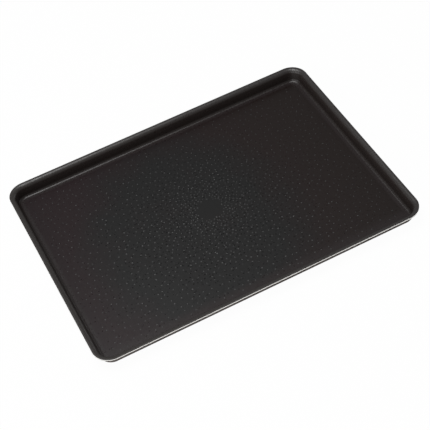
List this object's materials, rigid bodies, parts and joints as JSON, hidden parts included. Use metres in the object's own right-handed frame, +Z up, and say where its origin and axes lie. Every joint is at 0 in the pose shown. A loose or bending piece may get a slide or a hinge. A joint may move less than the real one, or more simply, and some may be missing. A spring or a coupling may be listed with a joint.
{
  "type": "baking tray",
  "caption": "Shallow rectangular baking tray with rounded corners: a coated pressed sheet with a level outward lip, leaning walls and a flat pipped floor for baking food in an oven.",
  "frame": {"origin": "centre of the underside of the base, on the surface that the tray stands on", "axes": "+X along the long side, +Y along the short side, +Z up out of the open top"},
  "size_m": [0.38, 0.28, 0.0164],
  "materials": {
    "bare_aluminium": "sheared edge, bare and bright",
    "nonstick_coat": "dark warm grey satin non-stick coat",
    "baked_lacquer": "dark grey satin baked coat"
  },
  "bodies": {
    "root": {"pressed_sheet": "bare_aluminium", "nonstick_lining": "nonstick_coat", "outer_coat": "baked_lacquer"}
  },
  "joints": []
}
